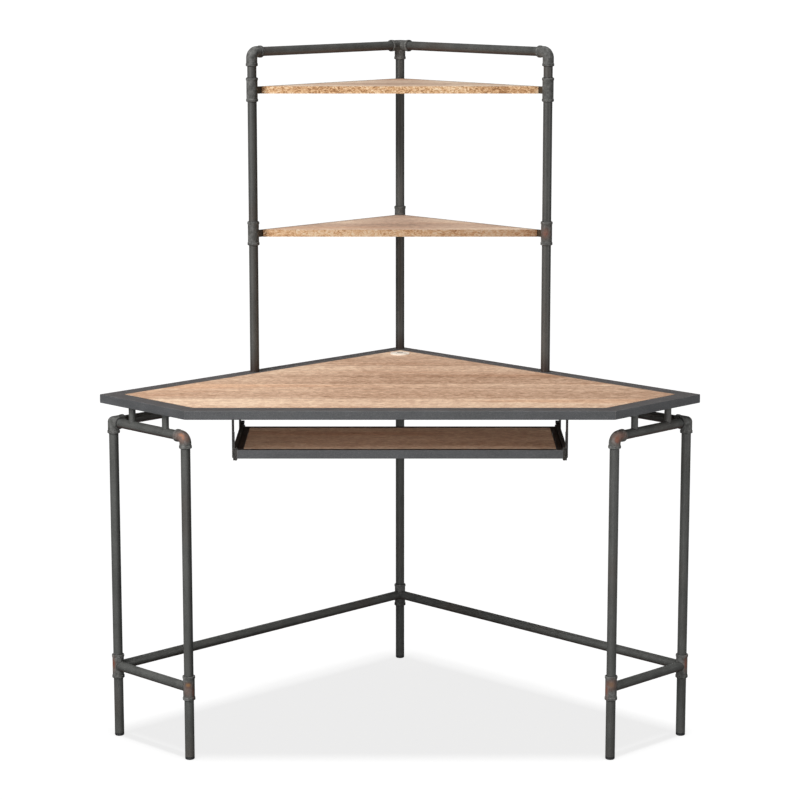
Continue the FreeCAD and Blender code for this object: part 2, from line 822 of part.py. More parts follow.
def hanger(start, has_lip):
    """Folded sheet: a flange screwed up under the desk, and a plate spot-welded to the slide."""
    bottom = slide_z - slide_height / 2 + hanger_short
    outer_x = hanger_x + hanger_thickness
    plate = box(V(hanger_x, start, bottom), V(outer_x, start + hanger_depth, panel_bottom))
    plate = rounded(plate, hanger_corner_radius,
                    lambda edge: abs(edge.tangentAt(edge.FirstParameter).x) > 0.999
                    and edge.CenterOfMass.z < slide_z)
    flange = box(V(hanger_x, start, panel_bottom - hanger_thickness),
                 V(hanger_x + hanger_flange, start + hanger_depth, panel_bottom))
    sheet = plate.fuse(flange)
    if has_lip:
        low = V(hanger_x - hanger_lip, start, slide_z + slide_height / 2)
        sheet = sheet.fuse(box(low, V(outer_x, start + hanger_thickness, rim_bottom - hanger_lip_top)))
    sheet = sheet.removeSplitter()
    for place in hanger_panel_screw_spots():
        sheet = sheet.cut(rod(place, UP, hanger_thickness, screw_r + screw_clearance))
    return sheet


# ---------------------------------------------------------------- screws

def fixed_screws():
    """Screws that stay with the desk: under the panel, in the hanger flanges and behind the shelves."""
    pieces = [screw(p, UP, tab_thickness + screw_bite) for p in desk_tab_screw_spots()]
    hangers = [screw(p, UP, hanger_thickness + screw_bite) for p in hanger_panel_screw_spots()]
    pieces += both_sides(hangers)
    for side in SIDES.values():
        for z in shelf_levels.values():
            for s in shelf_screw_alongs():
                seat = spot(side, s, pipe_inset - shelf_bar_thickness / 2, z)
                pieces.append(screw(seat, off_wall(side), shelf_bar_thickness + screw_bite))
    return pieces


def tray_screws():
    """Screws that move with the tray: under its panel and inside the inner channels."""
    pieces = [screw(p, UP, tab_thickness + tray_screw_bite) for p in tray_tab_screw_spots()]
    slides = [screw(p, V(-1, 0, 0), slide_sheet + tray_rail_wall) for p in slide_rail_screw_spots()]
    return pieces + both_sides(slides)


# ---------------------------------------------------------------- all nodes

def build():
    nodes = {"desk_panel": [desk_panel()]}
    for name in DESK_BARS:
        nodes[name] = [rim_bar(name)]
    nodes["grommet_liner"] = [grommet_liner()]
    nodes["grommet_cap"] = [grommet_cap()]

    nodes["foot_plugs"] = [foot_plug(place) for place in leg_spots(0)]
    nodes["leg_stubs"] = [leg_stub(place) for place in leg_spots(0)]
    nodes["leg_back"] = [leg(back_post(0), hub_seat)]
    nodes["lower_tee_back"] = [sleeve(back_post(stretcher_height))[0]]
    nodes["rail_hub_back"] = [rail_hub()[0]]
    nodes["rail_risers"] = risers()
    nodes["frame_bolts"] = frame_bolts()
    nodes["hutch_post_back"] = back_post_pieces()
    nodes["shelf_tee_back"] = [sleeve(back_post(tee_levels["lower"]))[0]]
    nodes["hutch_hub_back"] = [hutch_hub()[0]]
    for name, side in SIDES.items():
        nodes["leg_outer_" + name] = [leg(outer_leg(side, 0), hub_seat)]
        nodes["leg_inner_" + name] = [leg(inner_leg(side, 0), elbow_bend)]
        nodes["lower_tee_outer_" + name] = [sleeve(outer_leg(side, stretcher_height))[0]]
        nodes["lower_tee_inner_" + name] = [sleeve(inner_leg(side, stretcher_height))[0]]
        nodes["end_stretcher_" + name] = [end_stretcher(side)]
        nodes["wall_stretcher_" + name] = [wall_stretcher(side)]
        nodes["rail_elbow_outer_" + name] = [outer_elbow(side)[0]]
        nodes["rail_elbow_inner_" + name] = [inner_elbow(side)[0]]
        nodes["end_rail_" + name] = [end_rail(side)]
        nodes["wall_rail_" + name] = [wall_rail(side)]
        nodes["hutch_post_" + name] = side_post_pieces(side)
        nodes["hutch_elbow_" + name] = [hutch_elbow(side)[0]]
        nodes["hutch_top_pipe_" + name] = [top_pipe(side)]
        for level, z in tee_levels.items():
            nodes["shelf_tee_" + level + "_" + name] = [sleeve(side_post(side, z))[0]]
    for level in shelf_levels:
        nodes["shelf_" + level] = [shelf_board(level)]
        nodes["shelf_bars_" + level] = [shelf_bar(side, level) for side in SIDES.values()]

    nodes["tray_panel"] = [tray_panel()]
    nodes["tray_frame"] = tray_bars()
    front, rear = hanger_starts()
    nodes["tray_hangers"] = both_sides([hanger(front, True), hanger(rear, False)])
    nodes["slide_channels"] = both_sides(slide_outer())
    nodes["slide_runners"] = both_sides([slide_inner()])
    nodes["slide_ball_cages"] = both_sides(slide_cage())
    nodes["fixed_screws"] = fixed_screws()
    nodes["tray_screws"] = tray_screws()
    return nodes


os.makedirs("parts", exist_ok=True)
for node, solids in build().items():
    Part.makeCompound(solids).exportStep(os.path.join("parts", node + ".step"))
    print(node, len(solids), all(s.isValid() and len(s.Solids) == 1 for s in solids),
          round(sum(s.Volume for s in solids) / 1000, 1), "cm3")
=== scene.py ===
"""Corner desk on a white studio floor: camera, light, finishes and fine detail."""
import math

import bmesh
import bpy
from mathutils import Matrix, Vector


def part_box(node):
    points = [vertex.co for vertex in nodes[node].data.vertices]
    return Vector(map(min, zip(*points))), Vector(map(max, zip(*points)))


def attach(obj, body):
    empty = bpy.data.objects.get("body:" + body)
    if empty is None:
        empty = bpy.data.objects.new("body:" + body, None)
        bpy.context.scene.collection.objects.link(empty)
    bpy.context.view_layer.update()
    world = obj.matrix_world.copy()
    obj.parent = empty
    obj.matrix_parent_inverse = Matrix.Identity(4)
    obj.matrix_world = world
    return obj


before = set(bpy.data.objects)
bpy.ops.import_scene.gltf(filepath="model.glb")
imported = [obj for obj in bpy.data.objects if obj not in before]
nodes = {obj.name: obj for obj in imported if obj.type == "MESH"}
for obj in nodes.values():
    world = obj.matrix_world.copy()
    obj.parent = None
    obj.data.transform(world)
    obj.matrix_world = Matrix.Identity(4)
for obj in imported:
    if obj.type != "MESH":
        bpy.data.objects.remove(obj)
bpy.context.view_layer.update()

SIDES = ("left", "right")


# ------------------------------------------------------------------ node tree helpers

def srgb(red, green, blue):
    """A display colour, 0 to 255, as the linear colour that shaders take."""
    def linear(part):
        part /= 255
        return part / 12.92 if part <= 0.04045 else ((part + 0.055) / 1.055) ** 2.4
    return (linear(red), linear(green), linear(blue), 1.0)


def blend(first, second, share):
    """A colour part of the way from first to second."""
    return tuple(a + (b - a) * share for a, b in zip(first, second))


def shaded(colour, share):
    """A colour made darker or lighter, as a share of its strength."""
    return tuple(part * share for part in colour[:3]) + (1.0,)


def put(tree, kind, inputs=None, **settings):
    """Adds a shader node. Each input takes a value, or another node's output socket."""
    node = tree.nodes.new("ShaderNode" + kind)
    for name, value in settings.items():
        setattr(node, name, value)
    for name, value in (inputs or {}).items():
        if isinstance(value, bpy.types.NodeSocket):
            tree.links.new(value, node.inputs[name])
        else:
            node.inputs[name].default_value = value
    return node


def calc(tree, operation, a, b=0.0):
    """One sum on two numbers or sockets."""
    return put(tree, "Math", {0: a, 1: b}, operation=operation).outputs[0]


def spread(tree, value, low, high, to_low=0.0, to_high=1.0):
    """Maps low..high smoothly to to_low..to_high, and holds the ends."""
    return put(tree, "MapRange", {"Value": value, "From Min": low, "From Max": high,
                                  "To Min": to_low, "To Max": to_high},
               interpolation_type="SMOOTHSTEP").outputs["Result"]


def spread_evenly(tree, value, low, high, to_low=0.0, to_high=1.0):
    """Maps low..high to to_low..to_high in a straight line, and holds the ends."""
    return put(tree, "MapRange", {"Value": value, "From Min": low, "From Max": high,
                                  "To Min": to_low, "To Max": to_high}).outputs["Result"]


def mix(tree, factor, first, second, mode="MIX"):
    """Mixes two colours."""
    return put(tree, "MixRGB", {"Fac": factor, "Color1": first, "Color2": second},
               blend_type=mode).outputs["Color"]


def ramp(tree, factor, stops, interpolation="LINEAR"):
    """A colour ramp. Each stop is a position and a colour, or a position and a grey."""
    node = put(tree, "ValToRGB", {"Fac": factor})
    node.color_ramp.interpolation = interpolation
    elements = node.color_ramp.elements
    while len(elements) < len(stops):
        elements.new(1.0)
    for element, (position, colour) in zip(elements, stops):
        element.position = position
        element.color = colour if isinstance(colour, tuple) else (colour, colour, colour, 1.0)
    return node.outputs["Color"]


def even_stops(colours):
    """Ramp stops at equal steps, from the first colour to the last."""
    return [(i / (len(colours) - 1), colour) for i, colour in enumerate(colours)]


def coordinates(tree):
    """The object's own coordinates, which are the desk's, in metres."""
    return put(tree, "TexCoord").outputs["Object"]


def upward(tree):
    """How much a face looks up: 1 for a top, 0 for a wall and -1 for an underside."""
    normal = put(tree, "NewGeometry").outputs["Normal"]
    return put(tree, "SeparateXYZ", {"Vector": normal}).outputs["Z"]


def stretched(tree, place, scale, location=(0, 0, 0)):
    """Coordinates scaled and moved, so that a pattern on them is stretched."""
    return put(tree, "Mapping", {"Vector": place, "Scale": scale,
                                 "Location": location}).outputs["Vector"]


def noise(tree, place, scale=1.0, detail=2.0, roughness=0.5, distortion=0.0):
    """Soft random clouds, from 0 to 1 and mostly near 0.5."""
    return put(tree, "TexNoise", {
        "Vector": place, "Scale": scale, "Detail": detail,
        "Roughness": roughness, "Distortion": distortion}).outputs["Fac"]


def relief(tree, height, strength, distance, below=None):
    """Bump from a height, in metres, over the bump below it."""
    inputs = {"Height": height, "Strength": strength, "Distance": distance}
    if below is not None:
        inputs["Normal"] = below
    return put(tree, "Bump", inputs).outputs["Normal"]


def new_finish(name):
    """An empty principled material: its tree and its shader node."""
    material = bpy.data.materials.new(name)
    material.use_nodes = True
    return material, material.node_tree, material.node_tree.nodes["Principled BSDF"]


def wire(tree, shader, **sockets):
    """Sets the shader's sockets, by name with underscores for spaces."""
    for name, value in sockets.items():
        socket = shader.inputs[name.replace("_", " ")]
        if isinstance(value, bpy.types.NodeSocket):
            tree.links.new(value, socket)
        else:
            socket.default_value = value


def sharp_edges(tree, width):
    """1 along sharp edges and 0 on the flats: where paint rubs thin, and where boards take
    dark outlines.
    """
    bevel = put(tree, "Bevel", {"Radius": width}, samples=4).outputs["Normal"]
    flat = put(tree, "NewGeometry").outputs["Normal"]
    dot = put(tree, "VectorMath", {0: bevel, 1: flat}, operation="DOT_PRODUCT").outputs["Value"]
    return spread(tree, dot, 0.995, 0.86)


# ------------------------------------------------------------------ wood

TONE_INSET = 0.001          # plank's edge to its first tone, as a share of the board's depth
SEAM_HALF_WIDTH = 0.0009    # also a share of the board's depth
PORES = (0.62, 0.72)        # how strong the pore pattern is where a pore starts and is full
OUTLINE_WIDTH = 0.0022
WARM_TINT = srgb(226, 172, 122)
PORE_BROWN = srgb(112, 80, 56)
SEAM_BROWN = srgb(96, 66, 46)
OUTLINE_BROWN = srgb(84, 58, 42)
EDGE_SHADE = srgb(170, 158, 156)


def wood_grain(tree, place, shift):
    """Patterns of planks that run along X, and how strongly each shows."""
    offset = put(tree, "CombineXYZ", {"X": calc(tree, "MULTIPLY", shift, 3.7),
                                      "Y": calc(tree, "MULTIPLY", shift, 1.9)}).outputs[0]
    board = put(tree, "VectorMath", {0: place, 1: offset}, operation="ADD").outputs["Vector"]
    streaks = noise(tree, stretched(tree, board, (2.4, 30, 30)), detail=4, roughness=0.6,
                    distortion=0.8)
    rings = put(tree, "TexWave", {"Vector": stretched(tree, board, (0.8, 9, 9)),
                                  "Scale": 2.2, "Distortion": 9.0, "Detail": 3.0,
                                  "Detail Scale": 1.1, "Detail Roughness": 0.6},
                wave_type="BANDS", bands_direction="Y").outputs["Fac"]
    flecks = noise(tree, stretched(tree, board, (78, 86, 86)), detail=3, roughness=0.65,
                   distortion=0.6)
    fibres = noise(tree, stretched(tree, board, (16, 300, 300)), detail=5, roughness=0.65)
    pores = noise(tree, stretched(tree, board, (60, 1000, 1000)), detail=1)
    return ((streaks, 0.44), (rings, 0.10), (flecks, 1.14), (fibres, 0.40)), fibres, pores


def plank_tones(planks):
    """Ramp stops for planks, each given as its front edge, its back edge and its tones."""
    stops = []
    for front, back, tones in planks:
        step = (back - front - 2 * TONE_INSET) / (len(tones) - 1)
        stops += [(front + TONE_INSET + step * i, tone) for i, tone in enumerate(tones)]
    return stops


def planked_wood(name, board, planks, colours, edge_colours=None, edge_shade=(0.0, 0.0),
                 ends=(0.0, 0.0), gloss=0.45, outline=0.0):
    """Planks along X. Each plank is its front and back edge, as shares of the board's
    depth, and its tones from front to back. Colours go from the darkest grain to the
    lightest. edge_shade darkens the cut edge, at the left end and at the right end. ends
    is how much lighter the board's left end and right end are than its middle, and
    outline is how dark the board's sharp edges are."""
    material, tree, shader = new_finish(name)
    place = coordinates(tree)
    low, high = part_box(board)
    axes = put(tree, "SeparateXYZ", {"Vector": place}).outputs
    across = spread_evenly(tree, axes["Y"], low.y, high.y)
    tone = ramp(tree, across, plank_tones(planks))
    shifts = [(plank[0], 0.13 + 0.29 * i) for i, plank in enumerate(planks)]
    shift = ramp(tree, across, shifts, "CONSTANT")
    patterns, fibres, pores = wood_grain(tree, place, shift)
    value = tone
    for pattern, share in patterns:
        swing = calc(tree, "MULTIPLY", calc(tree, "SUBTRACT", pattern, 0.5), share)
        value = calc(tree, "ADD", value, swing)
    deeper = spread_evenly(tree, across, 0, 1, 0.45, 1.5)
    for end, lift in zip((low.x, high.x), ends):
        if lift:
            lighter = spread(tree, axes["X"], 0, end * 0.55, 0, lift)
            value = calc(tree, "ADD", value, calc(tree, "MULTIPLY", lighter, deeper))
    colour = ramp(tree, value, even_stops(colours))
    warmth = noise(tree, stretched(tree, place, (1.1, 13, 13), (4, 2, 7)), detail=2)
    colour = mix(tree, spread(tree, warmth, 0.52, 0.72, 0, 0.35), colour, WARM_TINT, "MULTIPLY")
    colour = mix(tree, spread(tree, pores, *PORES, 0, 0.35), colour, PORE_BROWN)
    for plank in planks[1:]:
        seam = put(tree, "Math", {0: across, 1: plank[0], 2: SEAM_HALF_WIDTH},
                   operation="COMPARE").outputs[0]
        colour = mix(tree, calc(tree, "MULTIPLY", seam, 0.6), colour, SEAM_BROWN)
    if outline:
        line = calc(tree, "MULTIPLY", sharp_edges(tree, OUTLINE_WIDTH), outline)
        colour = mix(tree, line, colour, OUTLINE_BROWN)
    height = calc(tree, "SUBTRACT", fibres, spread(tree, pores, *PORES, 0, 0.6))
    if edge_colours:
        shade = spread_evenly(tree, axes["X"], low.x, high.x, *edge_shade)
        colour = cut_edge(tree, place, colour, edge_colours, shade)
    rough = spread(tree, fibres, 0.3, 0.7, gloss - 0.06, gloss + 0.10)
    wire(tree, shader, Base_Color=colour, Roughness=rough, Specular_IOR_Level=0.35,
         Normal=relief(tree, height, 0.35, 0.0006))
    return material


def cut_edge(tree, place, colour, edge_colours, shade):
    """Gives upright faces a mottled cross-cut edge, and keeps colour on the flat ones."""
    flecks = noise(tree, stretched(tree, place, (105, 105, 190)), detail=3, roughness=0.62,
                   distortion=1.6)
    drift = noise(tree, stretched(tree, place, (5, 5, 5), (3, 0, 0)), detail=1)
    swing = calc(tree, "MULTIPLY", calc(tree, "SUBTRACT", drift, 0.5), 0.5)
    value = calc(tree, "ADD", flecks, swing)
    fleck_colour = ramp(tree, spread(tree, value, 0.25, 0.75), even_stops(edge_colours))
    fleck_colour = mix(tree, shade, fleck_colour, EDGE_SHADE, "MULTIPLY")
    upright = spread(tree, calc(tree, "ABSOLUTE", upward(tree)), 0.75, 0.45)
    return mix(tree, upright, colour, fleck_colour)


# ------------------------------------------------------------------ metal and plastic

PAINT_EDGE_WIDTH = 0.0012
CAST_EDGE_WIDTH = 0.0009
CONTACT_SHADE_HEIGHT = 0.055        # how far painted contact shade reaches up a post from the board it stands on
SPECK_GREY = srgb(150, 148, 144)
WARM_BROWN = srgb(92, 66, 48)
RUBBED_STEEL = srgb(168, 164, 158)
# painted reflection of the wood on faces that look up
WOOD_REFLECTION_BROWN = srgb(112, 82, 58)
# painted shade on faces that look down, brown with light thrown up from the wood
UNDERSIDE_SHADE_BROWN = srgb(62, 36, 28)
# painted contact shade at the feet of posts
PAINTED_CONTACT_SHADE = srgb(46, 30, 22)
SAND_GREY = srgb(142, 142, 138)
RUBBED_IRON = srgb(156, 156, 152)
STAIN = srgb(124, 86, 70)
ORANGE_RUST = srgb(172, 112, 78)
RED_RUST = srgb(128, 78, 62)
YELLOW_RUST = srgb(140, 104, 66)
# painted shade for upright faces
WALL_SHADE = srgb(118, 108, 100)


def painted_steel(name, colour, gloss=0.5, mottle=0.12, wear=0.35, grain=(1, 1, 1), warm=0.0,
                  sheen=0.25, top=0.0, under=0.0, painted_top_colour=WOOD_REFLECTION_BROWN, foot=None):
    """Dark satin paint over steel: slight mottling, fine orange peel and rubbed edges.
    top is how strongly the faces that look up take the top colour, which is painted light: by
    default a faint painted reflection of the wood, and on the tray frame a painted shadow of
    the desk. The underside share is how strongly the faces that look down take painted shade,
    brown with light thrown up from the wood, and foot is the height of the board that a post
    stands on, above which painted contact shade darkens the post."""
    material, tree, shader = new_finish(name)
    place = coordinates(tree)
    clouds = noise(tree, stretched(tree, place, grain), scale=38, detail=5, roughness=0.62)
    specks = noise(tree, place, scale=900, detail=2)
    base = mix(tree, spread(tree, clouds, 0.3, 0.7), shaded(colour, 1 - mottle),
               shaded(colour, 1 + mottle))
    base = mix(tree, spread(tree, specks, 0.45, 0.8, 0, 0.25), base, SPECK_GREY)
    if warm:
        stain = noise(tree, place, scale=6, detail=3)
        base = mix(tree, spread(tree, stain, 0.5, 0.75, 0, warm), base, WARM_BROWN)
    if wear:
        patchy = spread(tree, clouds, 0.35, 0.65, 0.3, 1)
        rubbed = calc(tree, "MULTIPLY", sharp_edges(tree, PAINT_EDGE_WIDTH), patchy)
        base = mix(tree, calc(tree, "MULTIPLY", rubbed, wear), base, RUBBED_STEEL)
    # Faces that look up take painted light in the top colour: the wood's reflection on the
    # frame, the desk's shadow on the tray frame
    if top:
        base = mix(tree, spread(tree, upward(tree), 0.5, 0.9, 0, top), base, painted_top_colour)
    # Faces that look down: painted shade, brown with light thrown up from the wood
    if under:
        base = mix(tree, spread(tree, upward(tree), -0.15, -0.7, 0, under), base, UNDERSIDE_SHADE_BROWN)
    # Painted contact shade darkens a post near the board it stands on
    if foot is not None:
        height = put(tree, "SeparateXYZ", {"Vector": place}).outputs["Z"]
        contact_shade = spread(tree, height, foot + CONTACT_SHADE_HEIGHT, foot, 0, 0.8)
        base = mix(tree, contact_shade, base, PAINTED_CONTACT_SHADE)
    rough = spread(tree, clouds, 0.3, 0.7, gloss - 0.05, gloss + 0.07)
    skin = relief(tree, noise(tree, place, scale=650, detail=3), 0.14, 0.0006)
    wire(tree, shader, Base_Color=base, Roughness=rough, Metallic=0.0,
         Specular_IOR_Level=sheen, Normal=relief(tree, clouds, 0.10, 0.0012, skin))
    return material


def cast_iron(name, rust_spots=()):
    """Blackened cast iron: a sandy, hammered skin, and rust round each spot: a faint
    stain with a small core. A rust spot is its middle, its half width, depth and height,
    how strong the stain and the core are, and the core's colour."""
    material, tree, shader = new_finish(name)
    place = coordinates(tree)
    dents = put(tree, "TexVoronoi", {"Vector": place, "Scale": 260.0, "Randomness": 1.0},
                feature="SMOOTH_F1").outputs["Distance"]
    sand = noise(tree, place, scale=1100, detail=4, roughness=0.7)
    clouds = noise(tree, place, scale=110, detail=5, roughness=0.65)
    base = ramp(tree, spread(tree, clouds, 0.28, 0.72),
                [(0.0, srgb(66, 66, 63)), (0.5, srgb(88, 88, 86)), (1.0, srgb(112, 112, 110))])
    base = mix(tree, spread(tree, sand, 0.5, 0.75, 0, 0.35), base, SAND_GREY)
    rubbed = calc(tree, "MULTIPLY", sharp_edges(tree, CAST_EDGE_WIDTH), 0.35)
    base = mix(tree, rubbed, base, RUBBED_IRON)
    height = calc(tree, "ADD", calc(tree, "MULTIPLY", dents, 0.6), clouds)
    normal = relief(tree, sand, 0.35, 0.0004, relief(tree, height, 0.5, 0.0010))
    for middle, reach, stain, core, colour in rust_spots:
        from_middle = put(tree, "VectorMath", {0: place, 1: tuple(middle)},
                          operation="SUBTRACT").outputs["Vector"]
        scaled = put(tree, "VectorMath", {0: from_middle, 1: tuple(1 / part for part in reach)},
                     operation="MULTIPLY").outputs["Vector"]
        away = put(tree, "VectorMath", {0: scaled}, operation="LENGTH").outputs["Value"]
        ragged = calc(tree, "ADD", away, calc(tree, "MULTIPLY", clouds, 0.5))
        base = mix(tree, spread(tree, ragged, 1.3, 0.5, 0, stain), base, STAIN)
        base = mix(tree, spread(tree, ragged, 0.75, 0.40, 0, core), base, colour)
    wire(tree, shader, Base_Color=base, Roughness=0.62, Metallic=0.0,
         Specular_IOR_Level=0.25, Normal=normal)
    return material


def moulded_plastic(name, colour, gloss, painted_wall_shade=0.0):
    """Plain moulded plastic with a fine spark texture and slightly uneven colour.
    The wall share is how much painted shade darkens the upright faces, as in the cap's slot."""
    material, tree, shader = new_finish(name)
    place = coordinates(tree)
    clouds = noise(tree, place, scale=60, detail=3)
    base = mix(tree, spread(tree, clouds, 0.35, 0.7, 0, 0.6), colour, shaded(colour, 0.86))
    # Upright faces darken with painted shade, as in the cap's slot
    if painted_wall_shade:
        steepness = calc(tree, "ABSOLUTE", upward(tree))
        base = mix(tree, spread(tree, steepness, 0.6, 0.2, 0, painted_wall_shade), base, WALL_SHADE)
    wire(tree, shader, Base_Color=base,
         Roughness=spread(tree, clouds, 0.3, 0.7, gloss, gloss + 0.1),
         Normal=relief(tree, noise(tree, place, scale=1500, detail=1), 0.12, 0.0003))
    return material


def plated_steel(name, colour, gloss):
    """Plated metal with a slightly uneven shine and faint tarnish."""
    material, tree, shader = new_finish(name)
    place = coordinates(tree)
    uneven = noise(tree, place, scale=200, detail=4)
    tarnish = noise(tree, place, scale=45, detail=4)
    base = mix(tree, spread(tree, tarnish, 0.35, 0.7, 0, 0.7), colour, shaded(colour, 0.6))
    wire(tree, shader, Base_Color=base, Metallic=0.8,
         Roughness=spread(tree, uneven, 0.3, 0.7, gloss, gloss + 0.18),
         Normal=relief(tree, uneven, 0.12, 0.0003))
    return material


# ------------------------------------------------------------------ dressing the frame

def dress(names, material):
    """Gives a finish to nodes of the frame."""
    for name in names:
        for slot in nodes[name].material_slots:
            slot.material = material


def slot_nodes(slot_name):
    """The frame's nodes that carry one material slot."""
    return [name for name, node in nodes.items()
            if node.data.materials[0].name.split(".")[0] == slot_name]


SLOTS = ("desk_wood", "shelf_wood", "tray_wood", "frame_steel", "pipe_steel", "bar_steel",
         "cast_fittings", "grommet_plastic", "foot_plastic", "slide_steel", "fasteners")
by_slot = {slot_name: slot_nodes(slot_name) for slot_name in SLOTS}

GRAIN = (srgb(132, 98, 74), srgb(176, 140, 113), srgb(206, 171, 144), srgb(232, 201, 172),
         srgb(250, 226, 199))
EDGE = (srgb(140, 96, 58), srgb(190, 142, 98), srgb(226, 182, 136), srgb(244, 208, 166),
        srgb(255, 236, 204))
DESK_PLANKS = [(0.000, 0.143, (0.58, 0.64, 0.62)),
               (0.143, 0.380, (0.38, 0.34, 0.40, 0.44, 0.60)),
               (0.380, 0.700, (0.34, 0.34, 0.40, 0.28, 0.42, 0.52, 0.56, 0.54)),
               (0.700, 1.000, (0.38, 0.42, 0.48, 0.62, 0.76))]
SHELF_PLANKS = [(0.00, 0.40, (0.60, 0.50, 0.20, 0.22)), (0.40, 1.00, (0.40, 0.46, 0.44, 0.36))]
SHELF_EDGE_SHADE = {"shelf_lower": (0.34, 0.86), "shelf_upper": (0.12, 0.12)}
SHELF_PAINTED_SHEEN = {"shelf_lower": 0.0, "shelf_upper": 0.17}     # how much lighter the planks are: on the upper shelf, a painted sheen of the white surroundings
TRAY_PLANKS = [(0.00, 0.42, (0.52, 0.46, 0.44)), (0.42, 1.00, (0.50, 0.46, 0.50))]
# The desk's grain made darker: painted shade of the tray beneath the desk
TRAY_SHADED_GRAIN = tuple(shaded(colour, 0.80) for colour in GRAIN)
SHELF_GRAIN = tuple(blend(colour, srgb(206, 194, 188), 0.18) for colour in GRAIN)

dress(by_slot["desk_wood"], planked_wood("desk_planks", "desk_panel", DESK_PLANKS, GRAIN, EDGE,
                                         ends=(0.17, 0.03), outline=0.8))
for board, lift in SHELF_PAINTED_SHEEN.items():
    lifted = [(front, back, [tone + lift for tone in tones])
              for front, back, tones in SHELF_PLANKS]
    dress([board], planked_wood(board + "_planks", board, lifted, SHELF_GRAIN, EDGE,
                                SHELF_EDGE_SHADE[board], ends=(0.32, 0.40)))
dress(by_slot["tray_wood"], planked_wood("tray_planks", "tray_panel", TRAY_PLANKS, TRAY_SHADED_GRAIN,
                                         gloss=0.5, outline=0.8))

FRAME_PAINT = dict(colour=srgb(73, 74, 76), gloss=0.48, mottle=0.12, grain=(0.4, 0.4, 1))
# Frame tops: a faint painted reflection of the wood
dress(by_slot["frame_steel"], painted_steel("satin_grey_paint", top=0.08, **FRAME_PAINT))
# Tray frame tops: painted shadow of the desk above them
dress(["tray_frame"], painted_steel("shaded_grey_paint", top=0.9, painted_top_colour=srgb(36, 24, 18),
                                    **FRAME_PAINT))
# Undersides of pipes and posts take painted shade, brown with light from the wood
PIPE_PAINT = dict(colour=srgb(72, 73, 71), gloss=0.48, mottle=0.16, wear=0.2,
                  grain=(1, 1, 0.35), warm=0.16, sheen=0.4, under=0.6)
dress(by_slot["pipe_steel"], painted_steel("gunmetal_pipe", **PIPE_PAINT))
# Posts: painted contact shade at their feet on the desk, and painted underside shade
dress([name for name in nodes if name.startswith("hutch_post_")],
      painted_steel("gunmetal_post", foot=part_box("desk_panel")[1].z, **PIPE_PAINT))
dress(by_slot["bar_steel"], painted_steel("dark_bronze_bar", srgb(64, 50, 34), gloss=0.5))
dress(by_slot["foot_plastic"], moulded_plastic("black_foot", srgb(44, 44, 44), 0.5))
dress(by_slot["grommet_plastic"], moulded_plastic("cream_grommet", srgb(236, 225, 210), 0.35))
# The cap's upright faces, its slot's walls among them, darken with painted shade
dress(["grommet_cap"], moulded_plastic("cream_cap", srgb(228, 217, 203), 0.35, painted_wall_shade=0.8))
dress(by_slot["slide_steel"], painted_steel("black_slide_paint", srgb(34, 30, 28), gloss=0.4,
                                            mottle=0.1))
dress(by_slot["fasteners"], plated_steel("black_oxide_screws", srgb(90, 88, 86), 0.35))


def spot_on(name, share, *rust):
    """A rust spot at a share of the node's box, from its lowest corner to its highest."""
    low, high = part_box(name)
    return ([low[i] + share[i] * (high[i] - low[i]) for i in range(3)], *rust)


RUST = {
    "rail_elbow_inner_left": [
        ((0.50, 0.05, 0.66), (0.030, 0.040, 0.018), 0.45, 0.0, RED_RUST),
        ((0.47, 0.05, 0.78), (0.020, 0.040, 0.010), 0.0, 0.55, ORANGE_RUST),
        ((0.58, 0.05, 0.66), (0.010, 0.040, 0.016), 0.0, 0.42, ORANGE_RUST)],
    "rail_elbow_inner_right": [
        ((0.44, 0.05, 0.52), (0.017, 0.040, 0.017), 0.30, 0.75, RED_RUST),
        ((0.66, 0.05, 0.72), (0.024, 0.040, 0.016), 0.50, 0.15, RED_RUST)],
    "lower_tee_inner_left": [
        ((0.50, 0.00, 0.66), (0.015, 0.030, 0.010), 0.30, 0.85, YELLOW_RUST),
        ((0.50, 0.00, 0.42), (0.016, 0.030, 0.018), 0.35, 0.0, RED_RUST),
        ((0.86, 0.00, 0.32), (0.005, 0.030, 0.018), 0.40, 0.60, RED_RUST)],
    "lower_tee_inner_right": [
        ((0.12, 0.05, 0.40), (0.006, 0.030, 0.026), 0.50, 0.75, RED_RUST),
        ((0.50, 0.00, 0.68), (0.018, 0.030, 0.018), 0.45, 0.35, YELLOW_RUST)],
    "lower_tee_outer_left": [
        ((0.14, 0.10, 0.62), (0.008, 0.030, 0.026), 0.45, 0.75, RED_RUST)],
    "lower_tee_outer_right": [
        ((0.78, 0.10, 0.62), (0.008, 0.030, 0.026), 0.45, 0.75, RED_RUST)],
    "shelf_tee_lower_right": [
        ((0.38, 0.00, 0.52), (0.018, 0.030, 0.018), 0.40, 0.45, RED_RUST)],
}
plain_casting = cast_iron("plain_casting")
for name in by_slot["cast_fittings"]:
    spots = [spot_on(name, *spot) for spot in RUST.get(name, ())]
    dress([name], cast_iron("rusty_" + name, spots) if spots else plain_casting)


# ------------------------------------------------------------------ fine detail

def placed(name, data):
    """A new object in the scene."""
    thing = bpy.data.objects.new(name, data)
    bpy.context.scene.collection.objects.link(thing)
    return thing


def show(name, material, build):
    """A mesh object whose faces build() makes in a bmesh, in place."""
    bm = bmesh.new()
    build(bm)
    mesh = bpy.data.meshes.new(name)
    bm.to_mesh(mesh)
    bm.free()
    mesh.materials.append(material)
    return placed(name, mesh)


PIPE_R = 0.01025
FITTING_R = 0.0125
RISER_R = 0.0075
UP = Vector((0, 0, 1))
ROOT2 = math.sqrt(2)
SIGN = {"left": -1, "right": 1}
# Ways from the back leg to each outer one, and from each outer leg to the inner one
ALONG = {side: Vector((sign, -1, 0)) / ROOT2 for side, sign in SIGN.items()}
INWARD = {side: Vector((-sign, -1, 0)) / ROOT2 for side, sign in SIGN.items()}

